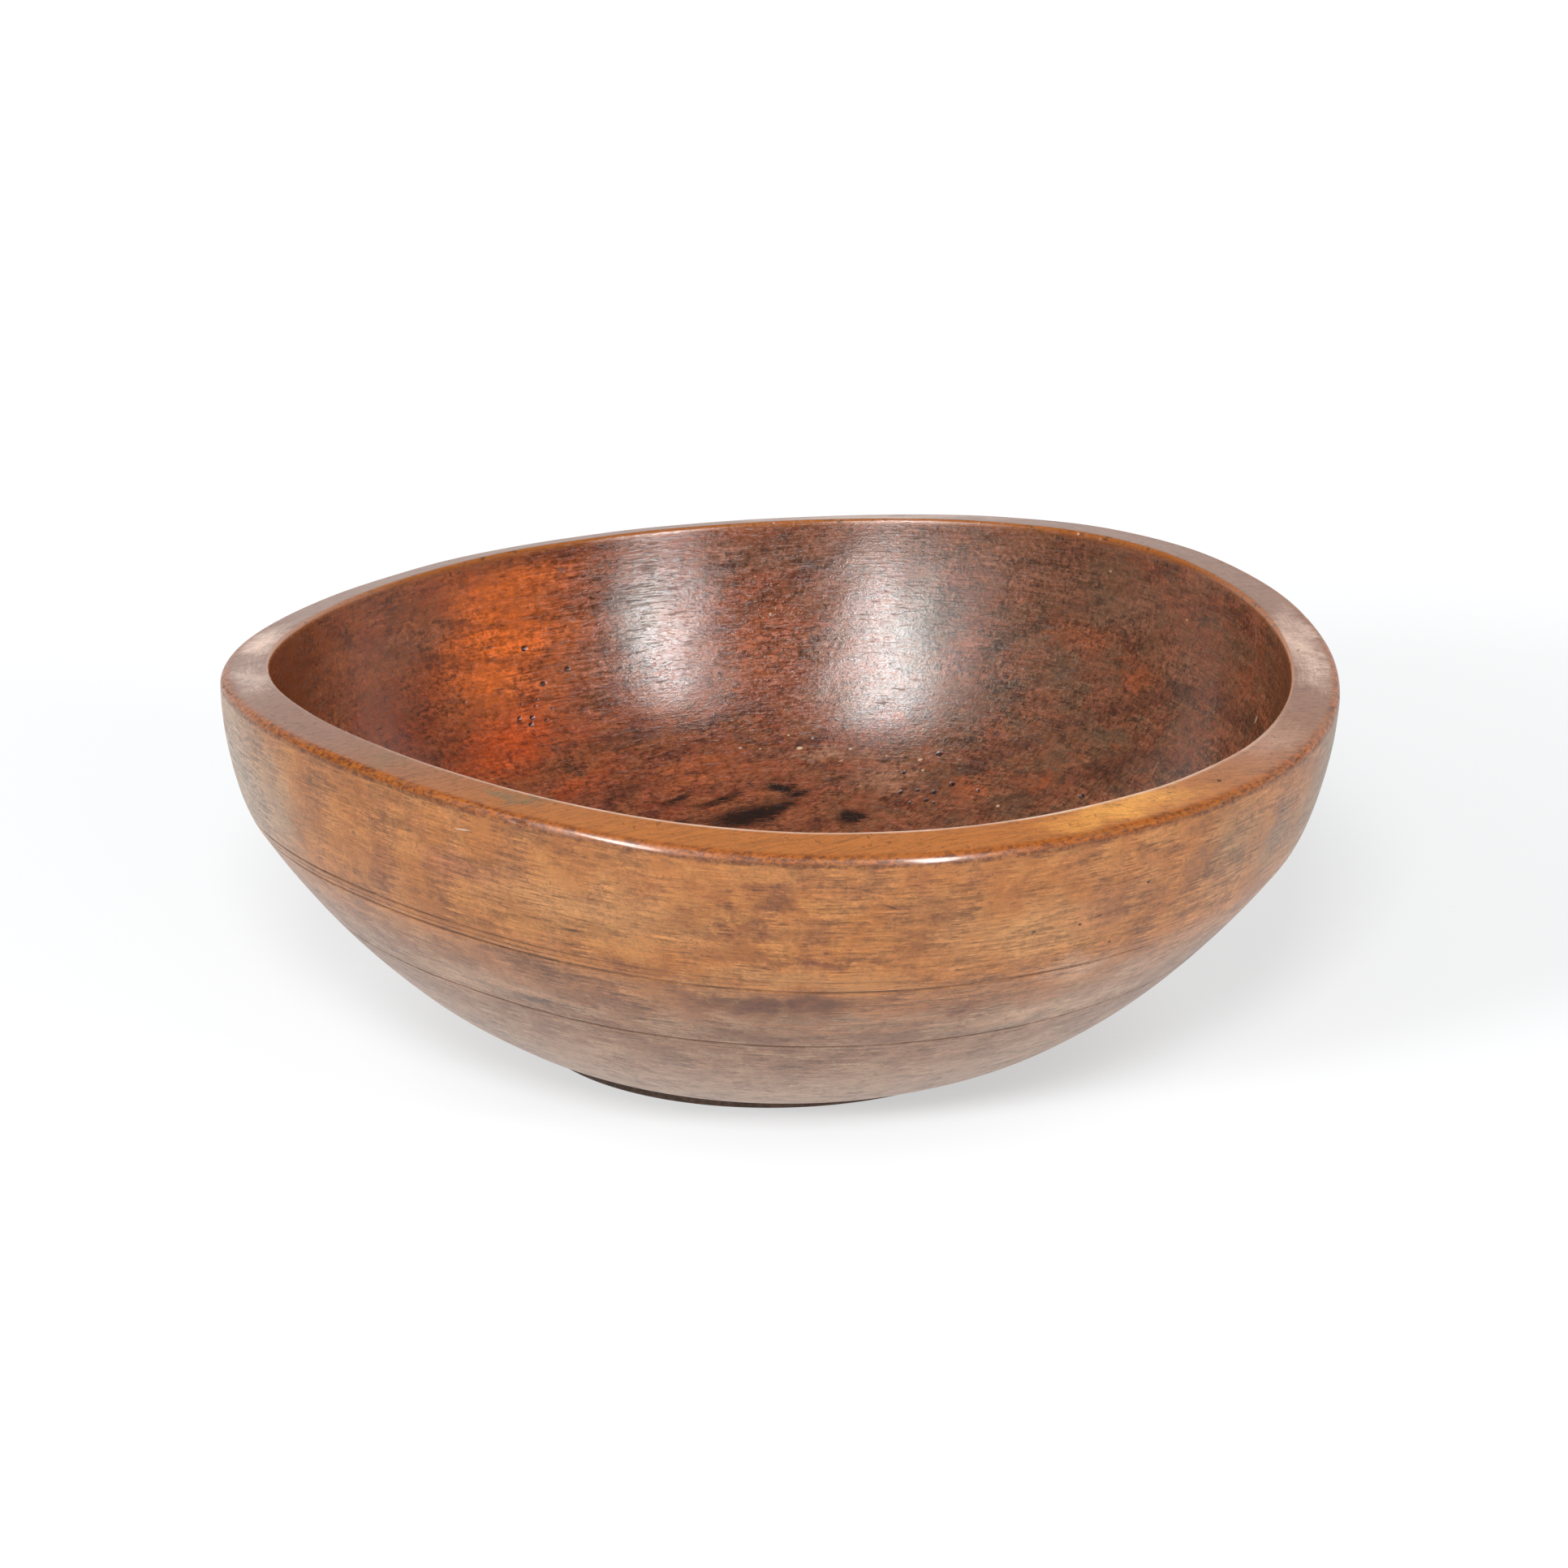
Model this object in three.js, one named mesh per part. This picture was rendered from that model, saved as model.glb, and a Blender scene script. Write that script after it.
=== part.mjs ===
// A dairy bowl, turned on a lathe from one block of wood.
// Its solid is the profile that left the lathe, turned round the upright axis, and then
// drawn out of round the way such a bowl moves as its wood seasons.
// Millimetres, +Z up, standing on its foot with the middle of its outline over the origin.
import * as THREE from 'three';

// Rim
const rimRadius = 212;        // to the outer corner of the rim, as turned
const rimHeight = 141.6;      // from the table to that corner
const rimWidth = 18.8;        // across the flat top
const rimFall = 3.3;          // the top is this much lower at its outer corner
const outerRounding = 3.2;    // both corners are worn round
const innerRounding = 2.4;

// Outside
const bendRadius = 199.4;     // where the round body turns into the steeper band under the rim
const bendHeight = 88.3;
const bendAngle = 54.6;       // degrees above level
const bandFullness = 13;      // how far each curve runs on straight before it turns
const rimFullness = 15.7;
const bodyFullness = 39;
const baseFullness = 40;
const baseAngle = 11;         // degrees above level, where the body leaves the foot

// Foot
const footRadius = 93.7;
const footHeight = 5.4;
const footStep = 2.8;         // the body overhangs the foot
const footEdge = 0.8;         // worn corner
const ringWidth = 30;         // the flat ring that it stands on
const hollowDepth = 3.5;      // inside that ring

// Inside
const thinnestWall = 14.3;
const floorThickness = 21;    // in the middle
const wallDrop = 85;          // the inside starts straight down, and this long a run guides it

// Lines cut with the corner of the tool: how far each lies above its group, its width and depth
const upperLines = [
  { above: 0, width: 1.7, depth: 0.8 },
  { above: 2.4, width: 0.9, depth: 0.35 },
  { above: 4.5, width: 1.3, depth: 0.5 },
];
const lowerLineHeight = 57.9;
const lowerLines = [
  { above: 0, width: 1.4, depth: 0.55 },
  { above: -2.3, width: 0.9, depth: 0.3 },
];

// Seasoning. Angles are in degrees anticlockwise from +X, seen from above.
const grainAngle = 31;        // the way the grain runs
const crossShrinkage = 0.115; // share of its width that the block lost across the grain
const saddleRise = 7;         // the rim climbs to the two ends of the grain
const saddleAngle = 44;
const leanRise = 2.3;         // and a little to one side
const leanAngle = 99;
const rippleRise = 0.7;       // and to three sides
const rippleAngle = -34;
const cornerRise = 1.5;       // and to four
const cornerAngle = 42;
const steadyHeight = 14.2;    // under this height the rise dies out, so the foot stays flat
const wallChange = 0.8;       // the rim is this much wider on one side, and as much narrower opposite
const wallChangeAngle = -10;

// Steps along the curves
const segments = 72;
const bodySteps = 15;
const bandSteps = 7;
const insideSteps = 20;
const hollowSteps = 4;
const roundingSteps = 3;

const radians = THREE.MathUtils.degToRad;
const point = (r, z) => new THREE.Vector2(r, z);

// The point that lies a length away from a start, at an angle above level.
function along(start, angle, length) {
  const a = radians(angle);
  return point(start.x + length * Math.cos(a), start.y + length * Math.sin(a));
}

// A corner worn round: the corner is left out, and a curve joins the points a length before and after it.
function roundCorner(before, corner, after, length) {
  const start = corner.clone().add(before.clone().sub(corner).setLength(length));
  const end = corner.clone().add(after.clone().sub(corner).setLength(length));
  return new THREE.QuadraticBezierCurve(start, corner, end).getPoints(roundingSteps);
}

// Where a line of points crosses a height, and between which two of them.
function crossing(points, height) {
  const next = points.findIndex((p) => p.y > height);
  const a = points[next - 1];
  const b = points[next];
  const share = (height - a.y) / (b.y - a.y);
  return { next, place: a.clone().lerp(b, share), direction: b.clone().sub(a).normalize() };
}

// Cuts a V into a line of points that climbs the outside.
function incise(points, height, width, depth) {
  const middle = crossing(points, height);
  const reach = middle.direction.y * width / 2;
  const low = crossing(points, height - reach);
  const high = crossing(points, height + reach);
  const inward = point(-middle.direction.y, middle.direction.x);
  const bottom = middle.place.clone().addScaledVector(inward, depth);
  return [...points.slice(0, low.next), low.place, bottom, high.place, ...points.slice(high.next)];
}

// The underside: a shallow hollow, the flat ring round it and the foot's upright edge.
function underside() {
  const ringInside = footRadius - ringWidth;
  const hollow = new THREE.QuadraticBezierCurve(
    point(0, hollowDepth), point(ringInside / 2, hollowDepth), point(ringInside, 0));
  const corner = point(footRadius, 0);
  const edge = roundCorner(point(ringInside, 0), corner, point(footRadius, footHeight), footEdge);
  return [...hollow.getPoints(hollowSteps), ...edge, point(footRadius, footHeight)];
}

// The outside, from the foot to the rim, with its lines cut in.
function outside() {
  const base = point(footRadius + footStep, footHeight);
  const bend = point(bendRadius, bendHeight);
  const rim = point(rimRadius, rimHeight - outerRounding);
  const body = new THREE.CubicBezierCurve(
    base, along(base, baseAngle, baseFullness), along(bend, bendAngle, -bodyFullness), bend);
  const band = new THREE.CubicBezierCurve(
    bend, along(bend, bendAngle, bandFullness), along(rim, 90, -rimFullness), rim);
  let points = [...body.getPoints(bodySteps), ...band.getPoints(bandSteps).slice(1)];
  for (const line of upperLines) {
    points = incise(points, bendHeight + line.above, line.width, line.depth);
  }
  for (const line of lowerLines) {
    points = incise(points, lowerLineHeight + line.above, line.width, line.depth);
  }
  return points;
}

// The flat top of the rim, which falls outwards, between its two worn corners.
function rimTop() {
  const outer = point(rimRadius, rimHeight);
  const inner = point(rimRadius - rimWidth, rimHeight + rimFall);
  const underOuter = point(rimRadius, 0);
  const underInner = point(inner.x, 0);
  return [
    ...roundCorner(underOuter, outer, inner, outerRounding).slice(1),
    ...roundCorner(outer, inner, underInner, innerRounding),
  ];
}

// The inside is one sweep from the rim to the middle of the floor. How far the floor reaches out
// before it climbs is found by halving, so that the wall is nowhere thinner than it should be.
function inside(outsidePoints) {
  const top = point(rimRadius - rimWidth, rimHeight + rimFall - innerRounding);
  const floor = point(0, floorThickness);
  const sweep = (reach) => new THREE.CubicBezierCurve(
    top, point(top.x, top.y - wallDrop), point(reach, floorThickness), floor);
  const thinnest = (reach) => {
    const points = sweep(reach).getPoints(3 * insideSteps);
    return Math.min(...points.flatMap((p) => outsidePoints.map((q) => p.distanceTo(q))));
  };
  let short = 0;
  let long = rimRadius;
  for (let turn = 0; turn < 30; turn += 1) {
    const middle = (short + long) / 2;
    if (thinnest(middle) > thinnestWall) {
      short = middle;
    } else {
      long = middle;
    }
  }
  return sweep(short).getPoints(insideSteps).slice(1);
}

// A wave round the bowl with a number of crests, one of them at an angle.
function wave(angle, crests, crestAngle) {
  return Math.cos(crests * (angle - radians(crestAngle)));
}

// Where a point of the turned bowl lies once the wood has moved. A point of the inside also moves in or
// out as the rim's width changes.
function season(angle, turned, isInside) {
  const up = turned.y / rimHeight;
  const out = turned.x / rimRadius;
  const change = isInside ? out * up * wallChange * wave(angle, 1, wallChangeAngle) : 0;
  const r = turned.x - change;
  const grain = radians(grainAngle);
  const lengthwise = r * Math.cos(angle - grain);
  const across = r * Math.sin(angle - grain) * (1 - crossShrinkage);
  const rise = leanRise * wave(angle, 1, leanAngle)
    + saddleRise * wave(angle, 2, saddleAngle)
    + rippleRise * wave(angle, 3, rippleAngle)
    + cornerRise * wave(angle, 4, cornerAngle);
  return new THREE.Vector3(
    lengthwise * Math.cos(grain) - across * Math.sin(grain),
    lengthwise * Math.sin(grain) + across * Math.cos(grain),
    turned.y + out * out * rise * Math.min(turned.y / steadyHeight, 1));
}

function bowlGeometry() {
  const outsidePoints = outside();
  const insidePoints = inside(outsidePoints);
  const profile = [...underside(), ...outsidePoints, ...rimTop(), ...insidePoints];
  const insideStart = profile.length - insidePoints.length - roundingSteps - 1;
  const geometry = new THREE.LatheGeometry(profile, segments);
  const places = geometry.attributes.position;
  for (let i = 0; i < places.count; i += 1) {
    const column = Math.floor(i / profile.length) % segments;
    const row = i % profile.length;
    const place = season(2 * Math.PI * column / segments, profile[row], row >= insideStart);
    places.setXYZ(i, place.x, place.y, place.z);
  }
  geometry.computeBoundingBox();
  const middle = geometry.boundingBox.getCenter(new THREE.Vector3());
  geometry.translate(-middle.x, -middle.y, 0);
  geometry.computeVertexNormals();
  return geometry;
}

const waxedWood = new THREE.MeshStandardMaterial({ color: 0x96603a, roughness: 0.38, metalness: 0 });

const bowl = new THREE.Mesh(bowlGeometry(), waxedWood);
bowl.name = 'bowl';

const dairyBowl = new THREE.Group();
dairyBowl.add(bowl);

export default dairyBowl;
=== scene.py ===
from math import cos, pi, radians, sin

import bmesh
import bpy
import numpy as np
from mathutils import Matrix, Quaternion, Vector


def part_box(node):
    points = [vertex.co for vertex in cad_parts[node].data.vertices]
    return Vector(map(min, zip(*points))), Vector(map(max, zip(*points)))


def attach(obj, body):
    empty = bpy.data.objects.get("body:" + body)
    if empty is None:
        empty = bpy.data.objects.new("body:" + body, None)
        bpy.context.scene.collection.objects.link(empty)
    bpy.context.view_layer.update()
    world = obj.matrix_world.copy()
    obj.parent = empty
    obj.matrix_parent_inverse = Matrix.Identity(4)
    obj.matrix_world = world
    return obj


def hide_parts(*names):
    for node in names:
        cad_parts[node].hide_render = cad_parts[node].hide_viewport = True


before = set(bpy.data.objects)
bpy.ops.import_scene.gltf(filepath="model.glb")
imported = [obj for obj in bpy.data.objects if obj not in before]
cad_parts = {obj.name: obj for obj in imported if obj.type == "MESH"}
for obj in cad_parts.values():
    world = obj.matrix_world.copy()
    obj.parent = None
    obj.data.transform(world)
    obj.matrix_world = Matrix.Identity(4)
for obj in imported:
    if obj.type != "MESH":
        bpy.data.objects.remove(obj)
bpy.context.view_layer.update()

scene = bpy.context.scene
scene.view_settings.view_transform = "Standard"


def stood(name, data):
    """Stands a new object in the scene."""
    made = bpy.data.objects.new(name, data)
    scene.collection.objects.link(made)
    return made


# Camera
# It stands in front of the bowl and looks down into it at about 19 degrees, from far enough away
# that the far rim looks nearly as wide as the near one. The picture leans by two degrees.
camera_place = Vector((0.0003, -1.7549, 0.7098))
look_down = radians(19.314)
lean = radians(2.058)
forward = Vector((0, cos(look_down), -sin(look_down)))
level_right = Vector((1, 0, 0))
level_up = Vector((0, sin(look_down), cos(look_down)))
picture_right = cos(lean) * level_right + sin(lean) * level_up
picture_up = cos(lean) * level_up - sin(lean) * level_right

lens = bpy.data.cameras.new("camera")
lens.sensor_fit = "HORIZONTAL"
lens.sensor_width = 36
lens.lens = 114.72
lens.clip_start = 0.05
lens.clip_end = 60
camera = stood("camera", lens)
facing = Matrix((picture_right, picture_up, -forward)).transposed().to_4x4()
camera.matrix_world = Matrix.Translation(camera_place) @ facing
scene.camera = camera


# The bowl as it left the lathe
# One block of wood, most likely sycamore, turned in one piece. The turned profile runs from the
# middle of the underside, up the outside, over the rim and down the inside. Sizes are in
# millimetres until the mesh is made.
rim_radius = 212
rim_height = 141.6
rim_width = 18.8
rim_fall = 3.3
outer_rounding = 3.2
inner_rounding = 2.4
bend = (199.4, 88.3)
bend_angle = 54.6
foot_radius = 93.7
foot_height = 5.4
foot_step = 2.8
foot_edge = 0.8
ring_inside = 63.7
hollow_depth = 3.5
floor_reach = 117.5
floor_thickness = 21
wall_drop = 85
curve_steps = 800


def curve(*guides):
    """Close points on the smooth curve that two, three or four guides draw."""
    share = np.linspace(0, 1, curve_steps + 1)[:, None]
    points = [np.array(guide, float) * np.ones_like(share) for guide in guides]
    while len(points) > 1:
        points = [a * (1 - share) + b * share for a, b in zip(points, points[1:])]
    return points[0]


def away(start, angle, length):
    """The point that lies a length away from a start, at an angle above level."""
    return (start[0] + length * cos(radians(angle)), start[1] + length * sin(radians(angle)))


def towards(start, end, length):
    """The point a length along the straight from a start to an end."""
    way = np.array(end, float) - start
    return tuple(start + way * length / np.hypot(*way))


base = (foot_radius + foot_step, foot_height)
rim_outer = (rim_radius, rim_height)
rim_inner = (rim_radius - rim_width, rim_height + rim_fall)
under_outer = (rim_radius, rim_height - outer_rounding)
under_inner = (rim_inner[0], rim_inner[1] - inner_rounding)
on_outer = towards(rim_outer, rim_inner, outer_rounding)
on_inner = towards(rim_inner, rim_outer, inner_rounding)
stretches = {
    "hollow": curve((0, hollow_depth), (ring_inside / 2, hollow_depth), (ring_inside, 0)),
    "ring": curve((ring_inside, 0), (foot_radius - foot_edge, 0)),
    "foot edge": curve((foot_radius - foot_edge, 0), (foot_radius, 0), (foot_radius, foot_edge)),
    "foot side": curve((foot_radius, foot_edge), (foot_radius, foot_height)),
    "step": curve((foot_radius, foot_height), base),
    "body": curve(base, away(base, 11, 40), away(bend, bend_angle, -39), bend),
    "band": curve(bend, away(bend, bend_angle, 13), away(under_outer, 90, -15.7), under_outer),
    "outer corner": curve(under_outer, rim_outer, on_outer),
    "rim top": curve(on_outer, on_inner),
    "inner corner": curve(on_inner, rim_inner, under_inner),
    "inside": curve(under_inner, (under_inner[0], under_inner[1] - wall_drop),
                    (floor_reach, floor_thickness), (0, floor_thickness)),
}
profile = np.vstack([points[:-1] for points in stretches.values()] + [[(0, floor_thickness)]])
profile_steps = np.hypot(*np.diff(profile, axis=0).T)
run = np.concatenate([[0], np.cumsum(profile_steps)])   # how far along the profile each point lies
starts = {name: run[number * curve_steps] for number, name in enumerate(stretches)}
starts["middle"] = run[-1]
outer_arris = starts["outer corner"] + 2.4   # the crests of the rim's two worn corners
inner_arris = starts["inner corner"] + 1.9


def run_up(name, height):
    """How far along the profile a stretch climbs past a height."""
    on_stretch = np.flatnonzero((run >= starts[name]) & (profile[:, 1] > height))
    return run[on_stretch[0]]


# The lines that the corner of a tool cut round the outside: where along the profile, how wide and
# deep, and how sharp each still is at angles round the bowl, since hands and cloths have worn them.
bend_run = starts["band"]
low_run = run_up("body", 57.9)
cut_lines = [
    {"run": bend_run, "width": 1.6, "depth": 0.75,
     "sharp": {-180: 0.8, -150: 1, -100: 0.8, -75: 1, -55: 1, -47: 0.4, -40: 0, 10: 0.2, 90: 0.7}},
    {"run": bend_run + 2.8, "width": 0.9, "depth": 0.32,
     "sharp": {-180: 0.3, -150: 0.6, -120: 0.7, -95: 0.5, -75: 0.2, -60: 0, 60: 0, 120: 0.6}},
    {"run": bend_run + 5.4, "width": 1.3, "depth": 0.5,
     "sharp": {-180: 0.8, -150: 1, -125: 0.9, -110: 0.5, -95: 0.4, -78: 0.35, -68: 0, 30: 0, 100: 0.7}},
    {"run": low_run, "width": 1.3, "depth": 0.5,
     "sharp": {-180: 0.5, -148: 0.7, -120: 0.9, -90: 1, -60: 0.8, -38: 0.4, -10: 0.1, 90: 0.7}},
    {"run": low_run - 3, "width": 0.9, "depth": 0.25,
     "sharp": {-180: 0, -125: 0.1, -105: 0.5, -88: 0.3, -75: 0.1, -55: 0.4, -40: 0, 90: 0.3}},
]

# Rows of the mesh: close together at corners and cut lines, further apart where the wall is plain.
row_gaps = {
    "hollow": 7, "ring": 7, "foot edge": 0.35, "foot side": 0.9, "step": 0.9, "body": 2.4,
    "band": 2.3, "outer corner": 0.6, "rim top": 1.3, "inner corner": 0.55, "inside": 2.1,
}
names = list(starts)
rows = []
for name, following in zip(names, names[1:]):
    count = max(3, round((starts[following] - starts[name]) / row_gaps[name]))
    rows.extend(np.linspace(starts[name], starts[following], count, endpoint=False))
rows = np.array(rows + [starts["middle"]])
for line in cut_lines:
    rows = rows[np.abs(rows - line["run"]) > 0.75 * line["width"]]
    across = np.array([-0.7, -0.5, -0.33, -0.15, 0, 0.15, 0.33, 0.5, 0.7]) * line["width"]
    rows = np.sort(np.concatenate([rows, line["run"] + across]))
columns = 248
column_turn = 2 * pi / columns

# A ring of places for each row, closed with a fan at the middle of the floor and of the underside.
# Each place keeps its way out from the lathe's axis and its run along the profile, so that the
# finer places which are cut in later know theirs too.
bowl_form = bmesh.new()
way_layer = bowl_form.verts.layers.float_vector.new("way")
run_layer = bowl_form.verts.layers.float.new("run")


def new_place(angle, row_run):
    place = bowl_form.verts.new((0, 0, 0))
    place[way_layer] = (cos(angle), sin(angle), 0)
    place[run_layer] = row_run
    return place


rings = [[new_place(column * column_turn, row) for column in range(columns)] for row in rows[1:-1]]
underside_middle = new_place(0, rows[0])
floor_middle = new_place(0, rows[-1])
faces_of_row = []
for lower, upper in zip(rings, rings[1:]):
    faces_of_row.append([
        bowl_form.faces.new((lower[column], lower[(column + 1) % columns],
                             upper[(column + 1) % columns], upper[column]))
        for column in range(columns)])
for column in range(columns):
    following = (column + 1) % columns
    bowl_form.faces.new((underside_middle, rings[0][following], rings[0][column]))
    bowl_form.faces.new((floor_middle, rings[-1][column], rings[-1][following]))

# Holes that wood-boring beetles left: angle, run and width.
beetle_holes = [
    (127.9, 349.4, 1.7), (122.4, 360.8, 1.5), (126.2, 364.9, 1.6), (127.7, 370.9, 0.8),
    (128.2, 373.4, 0.8), (129.2, 377.8, 1.5), (131.1, 377.0, 1.3), (129.7, 380.7, 1.5),
    (127.3, 380.2, 0.8), (125.9, 376.0, 0.8), (130.2, 371.5, 0.8), (138.5, 364.8, 0.9),
    (64.2, 420.3, 1.7), (66.7, 425.5, 1.5), (69.6, 425.3, 1.3), (72.5, 427.1, 1.4),
    (70.1, 432.1, 1.0), (67.3, 429.9, 1.5), (65.7, 431.0, 1.2), (59.0, 421.5, 1.1),
    (39.9, 411.2, 1.7), (73.3, 416.9, 1.2), (68.7, 406.6, 1.2), (-51.5, 246.0, 0.7),
    (-48.2, 268.5, 0.9), (-61.3, 257.7, 0.9), (-56.0, 257.3, 0.7), (150.0, 262.0, 1.6),
    (147.6, 268.3, 1.4), (62.0, 231.0, 1.6), (-160.0, 180.0, 1.5), (-36.1, 300.3, 1.1),
]
# Nicks that knocks left: angle, run, half length, half width, depth.
nicks = [
    (-112.6, 290.6, 3.0, 1.0, 0.45), (-79.0, 299.3, 0.9, 0.8, 0.35), (-23.6, 291.5, 3.0, 0.9, 0.5),
    (-25.8, 290.6, 1.6, 0.8, 0.4), (-21.4, 292.0, 1.5, 0.7, 0.4), (14.1, 346.7, 0.8, 2.2, 0.3),
    (55.4, 310.2, 1.6, 0.7, 0.4), (51.8, 310.4, 2.2, 0.7, 0.4), (95.6, 309.9, 1.2, 0.6, 0.3),
    (-93.6, 288.6, 0.7, 1.8, 0.35), (150.0, 291.0, 3.5, 1.1, 0.5), (80.0, 290.5, 2.5, 1.0, 0.4),
]
large_nicks = len(nicks)
# Small chips crowd along the outer corner of the rim, more of them where it has been knocked most.
all_nicks = 190
chance = np.random.default_rng(41)
knocked = {-180: 0.5, -150: 0.7, -133: 1, -118: 1, -108: 0.15, -99: 0.5, -92: 1.4, -84: 1.4, -79: 0.3,
           -66: 0.15, -56: 0.6, -30: 0.9, -22: 1.2, -5: 0.7, 60: 0.5, 150: 0.6}


def round_bowl(table, angle):
    """Reads a table of values at angles round the bowl, in degrees, at any angle."""
    degrees = sorted(table)
    return np.interp(angle, degrees, [table[degree] for degree in degrees], period=360)


while len(nicks) < all_nicks:
    angle = chance.uniform(-180, 180)
    if chance.uniform(0, max(knocked.values())) < round_bowl(knocked, angle):
        nicks.append((angle, outer_arris + chance.normal(-0.2, 0.8), chance.uniform(0.5, 2.6),
                      chance.uniform(0.3, 0.9), chance.uniform(0.06, 0.26)))


def faces_near(angle, row_run, reach, height):
    """The grid's faces within a reach round the bowl and a height along the profile."""
    radius = max(np.interp(row_run, run, profile[:, 0]), 20)
    middle = radians(angle) / column_turn
    half = reach / (radius * column_turn)
    chosen = range(int(np.floor(middle - half)), int(np.floor(middle + half)) + 1)
    found = []
    for number, row_faces in enumerate(faces_of_row):
        if rows[number + 2] > row_run - height and rows[number + 1] < row_run + height:
            found.extend(row_faces[column % columns] for column in chosen)
    return found


def cut_finer(faces, cuts):
    """Divides the grid's faces, so that a small form can be shaped there."""
    edges = list({edge for face in faces for edge in face.edges})
    bmesh.ops.subdivide_edges(bowl_form, edges=edges, cuts=cuts, use_grid_fill=True)


# Finer faces go where the corner is knocked most, and round every hole and large nick.
corner_height = 2.6
corner_reach = 2.2
corner_step = 1.2
often_knocked = 0.45
hole_margin = 0.75
nick_margin = 1.2
corner_faces = set()
for degree in np.arange(-179, 180, corner_step):
    if round_bowl(knocked, degree) > often_knocked:
        corner_faces.update(faces_near(degree, outer_arris, corner_reach, corner_height))
hole_faces = set()
for angle, hole_run, width in beetle_holes:
    hole_faces.update(faces_near(angle, hole_run, hole_margin * width, hole_margin * width))
for angle, nick_run, long, wide, _ in nicks[:large_nicks]:
    if abs(nick_run - outer_arris) > corner_height:
        hole_faces.update(faces_near(angle, nick_run, nick_margin * long, nick_margin * wide))
hole_faces -= corner_faces
cut_finer(corner_faces, 2)
cut_finer([face for face in hole_faces if face.is_valid], 7)

turned_mesh = bpy.data.meshes.new("turned_bowl")
bowl_form.to_mesh(turned_mesh)
bowl_form.free()


# The bowl as it is now
# The block shrank across its grain as it seasoned, so the bowl is oval, and its rim climbed towards
# the two ends of the grain. Tools, beetles, knocks and wear took wood away, so they go into it.
millimetre = 0.001
grain = radians(31)
cross_shrinkage = 0.115
steady_height = 14.2
wall_change = 0.8
wall_change_angle = radians(-10)
rises = [(2.3, 1, 99), (7, 2, 44), (0.7, 3, -34), (1.5, 4, 42)]   # height, crests, angle of a crest


def seasoned(angle, r, z, inside_share):
    """Where points of the turned bowl lie once the wood has moved."""
    out = r / rim_radius
    up = z / rim_height
    r = r - inside_share * out * up * wall_change * np.cos(angle - wall_change_angle)
    lengthwise = r * np.cos(angle - grain)
    across = r * np.sin(angle - grain) * (1 - cross_shrinkage)
    rise = sum(height * np.cos(crests * (angle - radians(crest))) for height, crests, crest in rises)
    x = lengthwise * cos(grain) - across * sin(grain)
    y = lengthwise * sin(grain) + across * cos(grain)
    z = z + out * out * rise * np.minimum(z / steady_height, 1)
    return np.stack([x, y, z], 1)


def read_values(name, field, width):
    """An attribute of every place of the mesh, as rows of numbers."""
    values = np.empty(len(turned_mesh.vertices) * width, np.float32)
    turned_mesh.attributes[name].data.foreach_get(field, values)
    return values.reshape(-1, width).astype(float)


def keep_values(name, values, kind="FLOAT", field="value"):
    """Keeps a number or a vector at every place of the mesh, for the finish to read."""
    made = turned_mesh.attributes.new(name, kind, "POINT")
    made.data.foreach_set(field, values.astype(np.float32).ravel())


def slow_waves(points, size, seed):
    """Smooth unevenness, mostly from -1 to 1, with humps up to about a size across."""
    draw = np.random.default_rng(seed)
    total = np.zeros(len(points))
    waves = 14
    for _ in range(waves):
        way = draw.normal(size=3)
        way /= np.linalg.norm(way) * size * draw.uniform(0.35, 0.9)
        total += np.sin(points @ way * pi + draw.uniform(0, 2 * pi))
    return total / waves ** 0.5


way = read_values("way", "vector", 3)
places_run = read_values("run", "value", 1)[:, 0]
angle = np.arctan2(way[:, 1], way[:, 0])
degrees_round = np.degrees(angle)
r = np.interp(places_run, run, profile[:, 0])
z = np.interp(places_run, run, profile[:, 1])
tiny = 0.05
ahead = np.clip(places_run + tiny, 0, run[-1])
behind = np.clip(places_run - tiny, 0, run[-1])
slope_r = np.interp(ahead, run, profile[:, 0]) - np.interp(behind, run, profile[:, 0])
slope_z = np.interp(ahead, run, profile[:, 1]) - np.interp(behind, run, profile[:, 1])
slope = np.hypot(slope_r, slope_z)
inward_r = -slope_z / slope
inward_z = slope_r / slope
turned_place = np.stack([r * np.cos(angle), r * np.sin(angle), z], 1)


def spot(angle, place_run):
    """The point of the turned bowl at an angle round it, in degrees, and a run along its profile."""
    out = np.interp(place_run, run, profile[:, 0])
    return Vector((out * cos(radians(angle)), out * sin(radians(angle)),
                   np.interp(place_run, run, profile[:, 1])))


# Cut lines, as far as each is still sharp
cut = np.zeros(len(r))
depth = np.zeros(len(r))
for line in cut_lines:
    sharp = round_bowl(line["sharp"], degrees_round)
    sharp = sharp * np.clip(1 + 0.35 * slow_waves(turned_place, 30, 5), 0.3, 1)
    groove = np.clip(1 - np.abs(places_run - line["run"]) / (line["width"] / 2), 0, 1)
    depth += line["depth"] * sharp * groove
    cut = np.maximum(cut, sharp * np.sqrt(groove) * min(1, line["depth"] / 0.5))
keep_values("cut", cut)

# Beetle holes: straight down, with a sharp lip
lip_share = 0.58    # of a hole's width: how far out its lip lies
deep_share = 1.4
pit = np.zeros(len(r))
for hole_angle, hole_run, width in beetle_holes:
    off = turned_place - np.array(spot(hole_angle, hole_run))
    gap = np.linalg.norm(off, axis=1) / (lip_share * width)
    sunk = deep_share * width * np.clip((1.1 - gap) / 0.45, 0, 1)
    depth = np.maximum(depth, sunk)
    pit = np.maximum(pit, np.clip((1.4 - gap) / 0.35, 0, 1))
keep_values("pit", pit)

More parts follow.
